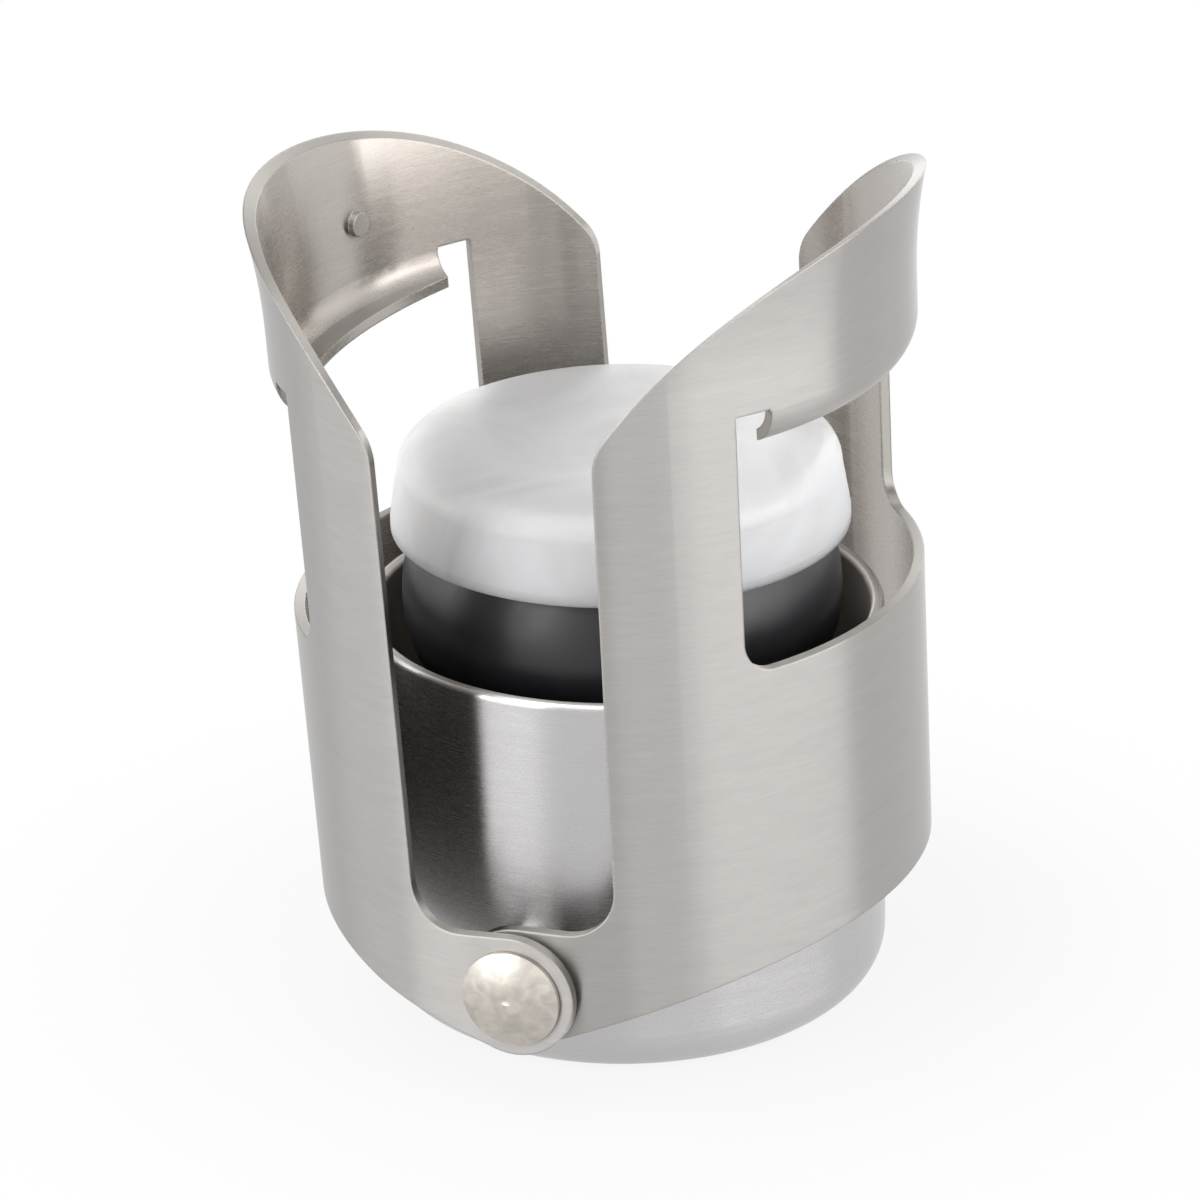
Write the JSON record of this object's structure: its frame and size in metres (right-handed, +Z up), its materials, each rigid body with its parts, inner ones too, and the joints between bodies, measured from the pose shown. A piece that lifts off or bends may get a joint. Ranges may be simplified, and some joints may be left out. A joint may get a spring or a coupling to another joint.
{
  "type": "champagne stopper",
  "caption": "Sparkling-wine stopper: a steel cap with hinged wings that hook under the bottle's collar, and a sprung piston with a soft white seal.",
  "frame": {"origin": "centre of the cap's closed end, which the stopper stands on", "axes": "+Z up through the seal, +Y along the rivets towards the back, +X towards the right wing"},
  "size_m": [0.0486, 0.0512, 0.0633],
  "materials": {
    "cap_steel": "satin, brushed round the cap",
    "wing_steel": "brushed along the band",
    "rivet_steel": "polished, nickel tone",
    "bush_steel": "turned",
    "spring_steel": "drawn wire",
    "black_plastic": "satin moulding",
    "white_seal": "satin, slightly translucent"
  },
  "bodies": {
    "cap": {"cap_shell": "cap_steel", "rivet_front": "rivet_steel", "rivet_back": "rivet_steel", "spacer_bush_front": "bush_steel", "spacer_bush_back": "bush_steel", "ear_washer_front": "bush_steel", "ear_washer_back": "bush_steel", "backing_washer_front": "bush_steel", "backing_washer_back": "bush_steel", "spring_seat": "black_plastic", "spring": "spring_steel", "retaining_screw": "spring_steel", "retaining_washer": "bush_steel"},
    "left_wing": {"wing_left": "wing_steel"},
    "right_wing": {"wing_right": "wing_steel"},
    "press": {"piston": "black_plastic", "seal": "white_seal"}
  },
  "joints": [
    {"name": "left_wing_hinge", "type": "hinge", "parent": "cap", "child": "left_wing", "pos_m": [0, 0, 0.0089], "axis": [0, 1, 0], "range_deg": [-86.8, 8]},
    {"name": "right_wing_hinge", "type": "hinge", "parent": "cap", "child": "right_wing", "pos_m": [0, 0, 0.0089], "axis": [0, 1, 0], "range_deg": [-3.3, 91.5]},
    {"name": "press_slide", "type": "slide", "parent": "cap", "child": "press", "axis": [0, 0, 1], "range_m": [-0.005, 0], "stiffness_N_per_m": 3000, "springref_m": 0.0033, "deforming": ["spring"]}
  ]
}
